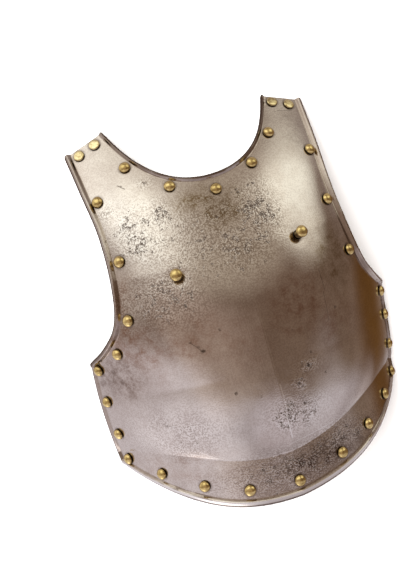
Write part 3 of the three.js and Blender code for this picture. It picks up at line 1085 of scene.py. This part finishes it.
@dataclass
class RivetSet:
    """All the brass fastenings, one piece for each node of the frame.

    A profile is a list of radius and height, from the tail's middle to the
    head's, with 0 on the plate's front.
    """

    form: PlateForm
    finish: BrassFinish
    offset: Vector
    sides: int = 40
    seam_top: float = 1.5
    button_seam_top: float = 7.3
    seam_fade: float = 1.3
    uneven_depth: float = 0.22
    uneven_size: float = 5
    seed: int = 5
    sharp_degrees: float = 50

    def profile(self, kind: RivetKind) -> list[Pair]:
        """Draws the outline of one kind of rivet.

        Args:
            kind: The kind.

        Returns:
            The profile, in millimetres.
        """
        back = -self.form.thickness
        tail = [(2.0, back - 1.5), (3.0, back - 1.3), (3.5, back - 0.8), (3.6, back), (1.9, back), (1.9, 0.0)]
        if kind is RivetKind.FLAT:
            return tail + [(6.1, 0.0), (6.2, 0.6), (6.0, 1.1), (5.5, 1.5), (4.6, 1.7), (2.0, 1.75)]
        if kind is RivetKind.DOMED:
            return tail + [(6.0, 0.05)] + self.dome(6.1, 0.45, 4.6)
        foot = [(5.0, 0.0), (5.0, 0.9), (4.4, 1.4), (3.3, 1.9), (3.0, 2.6)]
        neck = [(3.0, 6.4), (3.6, 6.8), (5.6, 7.0), (6.2, 7.6)]
        return tail + foot + neck + self.dome(6.3, 8.25, 4.2)

    def dome(self, radius: float, base: float, height: float) -> list[Pair]:
        """Outline of a domed head, from its rim nearly to its top."""
        angles = np.radians(np.linspace(0, 84, 13))
        return [(radius * math.cos(angle), base + height * math.sin(angle)) for angle in angles]

    def pattern(self, kind: RivetKind) -> Piece:
        """Models one rivet of a kind, standing on the origin.

        Args:
            kind: The kind.

        Returns:
            The rivet, still without a finish.
        """
        rows = self.profile(kind)
        bpy.ops.mesh.primitive_circle_add(
            vertices=self.sides, radius=rows[0][0] * MM, fill_type="NGON", location=(0, 0, rows[0][1] * MM)
        )
        piece = bpy.context.object
        bpy.ops.object.transform_apply(location=True, rotation=True, scale=True)
        bpy.ops.object.mode_set(mode="EDIT")
        bpy.ops.mesh.select_all(action="SELECT")
        for (before, low), (radius, high) in zip(rows, rows[1:]):
            bpy.ops.mesh.extrude_region_move(TRANSFORM_OT_translate={"value": (0, 0, (high - low) * MM)})
            share = radius / before
            bpy.ops.transform.resize(value=(share, share, 1), center_override=(0, 0, high * MM))
        bpy.ops.mesh.select_all(action="SELECT")
        bpy.ops.mesh.normals_make_consistent(inside=False)
        bpy.ops.object.mode_set(mode="OBJECT")
        return piece

    def build(self) -> list[Piece]:
        """Models every kind once, and sets a copy at each node's place.

        Returns:
            The finished pieces.
        """
        noise.seed_set(self.seed)  # the clock seeds noise_vector otherwise
        material = self.finish.material()
        patterns = {kind: self.pattern(kind) for kind in RivetKind}
        pieces = []
        for name in sorted(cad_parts):
            kinds = [kind for kind in RivetKind if name.startswith(kind.value)]
            if kinds:
                pieces.append(self.place(patterns[kinds[0]], name, material, len(pieces)))
        for pattern in patterns.values():
            bpy.data.objects.remove(pattern)
        return pieces

    def place(self, pattern: Piece, node: str, material: Material, number: int) -> Piece:
        """Sets one rivet on the plate, with its own small unevenness.

        Args:
            pattern: The rivet to copy.
            node: The frame's node that it stands for.
            material: Its brass.
            number: Its place in the row of rivets, which seeds its unevenness.

        Returns:
            The finished piece.
        """
        piece = pattern.copy()
        piece.data = pattern.data.copy()
        bpy.context.scene.collection.objects.link(piece)
        piece.name = node + "_brass"
        piece.data.materials.append(material)
        shape = vertex_places(piece) / MM
        low = shape[:, 2]
        # Painted shade on the lowest part of each head, and on a button's foot, stem and the underside of its
        # head.
        top = self.button_seam_top if node.startswith(RivetKind.BUTTON.value) else self.seam_top
        seam = np.clip((top - low) / self.seam_fade, 0, 1) * (low > -1)
        pale = np.full(len(shape), float(node.startswith(RivetKind.FLAT.value)))
        tone = np.full(len(shape), 0.5 + 0.5 * math.sin(number * 2.4))
        own = Vector((number * 7.3, 0, 0))
        drift = np.array([noise.noise_vector(Vector(point) / self.uneven_size + own) for point in shape])
        shape = shape + drift * (low > 0.5)[:, None] * self.uneven_depth
        middle = (node_middle(node) - self.offset) / MM
        plan = np.array([[middle.x, middle.y]])
        seat = Vector(self.form.front(plan)[0]) * MM + self.offset
        up = Vector(self.form.normal(plan)[0])
        turn = up.to_track_quat("Z", "Y").to_matrix() @ Matrix.Rotation(number * 1.9, 3, "Z")
        move_vertices(piece, shape * MM @ np.array(turn).T + np.array(seat))
        set_attributes(piece, seam=seam, pale=pale, tone=tone)
        smooth_shading(piece, self.sharp_degrees)
        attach(piece, "root")
        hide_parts(node)
        return piece


# ---------------- studio


@dataclass(frozen=True)
class Glow:
    """A soft patch of light in the studio's surroundings.

    bearing is its direction in degrees from +X towards +Y, rise its height
    above the horizon, spread its half width and core the half width of its
    evenly bright middle.
    """

    bearing: float
    rise: float
    spread: float
    core: float
    color: Color


@dataclass
class Studio:
    """Floor, surroundings, lamp and camera.

    The glows add to the plain light of the surroundings, the shade covers both,
    and the rim glow lies over the shade.
    """

    floor_half: float = 6.0
    base: Color = (0.235, 0.165, 0.122)
    low: Color = (0.56, 0.495, 0.48)
    glows: tuple[Glow, ...] = (
        Glow(117, 26, 36, 0, (0.95, 1, 0.95)),
        Glow(39, 22, 28, 0, (0.96, 1, 0.90)),
        Glow(82, 37, 38, 19, (0.30, 0.29, 0.25)),
        Glow(147, 0, 52, 0, (0.44, 0.44, 0.43)),
        Glow(222, 19, 45, 0, (0.40, 0.40, 0.43)),
        Glow(286, 52, 20, 15, (0.14, 0.13, 0.15)),
        Glow(265, -4, 75, 66, (0.29, 0.31, 0.38)),
        Glow(321, 29, 23, 0, (0.18, 0.19, 0.22)),
        Glow(176, 65, 36, 18, (0.24, 0.21, 0.195)),
        Glow(242, -2, 21, 0, (1.3, 1.3, 1.3)),
    )
    shade: Glow = Glow(-11, -30, 41, 0, (0.155, 0.072, 0.02))
    rim_glow: Glow = Glow(326, -19, 13, 0, (0.2, 0.2, 0.22))
    key_place: Place = (-1.2, 0.75, 1.9)
    key_size: float = 2.7
    key_power: float = 165.0
    lens: float = 64.84
    sensor: float = 36
    clip_start: float = 0.05
    eye: Place = (-0.2178, 0.2232, 1.1342)
    right: Place = (0.9444, -0.2537, 0.2093)
    up: Place = (0.2844, 0.9496, -0.1320)

    def build(self) -> None:
        """Sets up the whole studio."""
        self.floor()
        self.surroundings()
        self.key_lamp()
        self.camera()

    def floor(self) -> None:
        """Lays the floor."""
        bpy.ops.mesh.primitive_plane_add(size=2 * self.floor_half, location=(0, 0, 0))
        plane = bpy.context.object
        plane.name = "floor"
        plane.data.materials.append(FloorFinish().material())
        plane.visible_glossy = False

    def surroundings(self) -> None:
        """Lights the studio from all round with soft patches of light."""
        world = bpy.data.worlds.new("studio")
        bpy.context.scene.world = world
        world.use_nodes = True
        graph = Graph(world.node_tree)
        way = graph.add("TexCoord").outputs["Generated"]
        height = graph.add("SeparateXYZ", Vector=way).outputs["Z"]
        total = graph.mix(graph.ramp(height, 0.12, -0.30), self.base, self.low)
        for glow in (*self.glows, self.shade, self.rim_glow):
            share = self.facing(graph, way, glow)
            if glow is self.shade:
                total = graph.mix(share, total, glow.color)
            else:
                total = graph.vector("ADD", total, graph.vector("SCALE", glow.color, Scale=share))
        back = graph.add("Background", Color=total, Strength=1.0)
        graph.add("OutputWorld", Surface=back.outputs[0])

    def facing(self, graph: Graph, way: Socket, glow: Glow) -> Socket:
        """Share of one soft patch in each direction."""
        bearing, rise = math.radians(glow.bearing), math.radians(glow.rise)
        aim = (math.cos(rise) * math.cos(bearing), math.cos(rise) * math.sin(bearing), math.sin(rise))
        edge, core = (math.cos(math.radians(angle)) for angle in (glow.spread, glow.core))
        return graph.ramp(graph.vector("DOT_PRODUCT", way, aim), edge, core)

    def key_lamp(self) -> None:
        """Hangs a broad lamp that whitens the floor and casts the soft shadow.

        The metal doesn't mirror it: the surroundings give the metal its light.
        """
        bpy.ops.object.light_add(type="AREA", location=self.key_place)
        lamp = bpy.context.object
        lamp.name = "key_lamp"
        lamp.data.shape = "DISK"
        lamp.data.size = self.key_size
        lamp.data.energy = self.key_power
        lamp.rotation_euler = Vector(self.key_place).to_track_quat("Z", "Y").to_euler()
        lamp.visible_glossy = False

    def camera(self) -> None:
        """Puts the camera above the plate."""
        data = bpy.data.cameras.new("camera")
        data.sensor_fit = "VERTICAL"
        data.sensor_height = self.sensor
        data.lens = self.lens
        data.clip_start = self.clip_start
        camera = bpy.data.objects.new("camera", data)
        right = Vector(self.right).normalized()
        up = Vector(self.up)
        up = (up - right * up.dot(right)).normalized()
        turn = Matrix((right, up, right.cross(up))).transposed().to_4x4()
        camera.matrix_world = Matrix.Translation(Vector(self.eye)) @ turn
        bpy.context.scene.collection.objects.link(camera)
        bpy.context.scene.camera = camera


def main() -> None:
    """Builds the pieces in order."""
    logging.basicConfig(level=logging.INFO, format="%(name)s: %(message)s")
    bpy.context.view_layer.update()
    form = PlateForm()
    plate = Breastplate(form, SteelFinish())
    shell = plate.build()
    log.info("%s: %d faces", shell.name, len(shell.data.polygons))
    for piece in RivetSet(form, BrassFinish(), plate.offset).build():
        log.info("%s: %d faces", piece.name, len(piece.data.polygons))
    Studio().build()
    bpy.context.scene.view_settings.view_transform = "Standard"


if __name__ == "__main__":
    main()
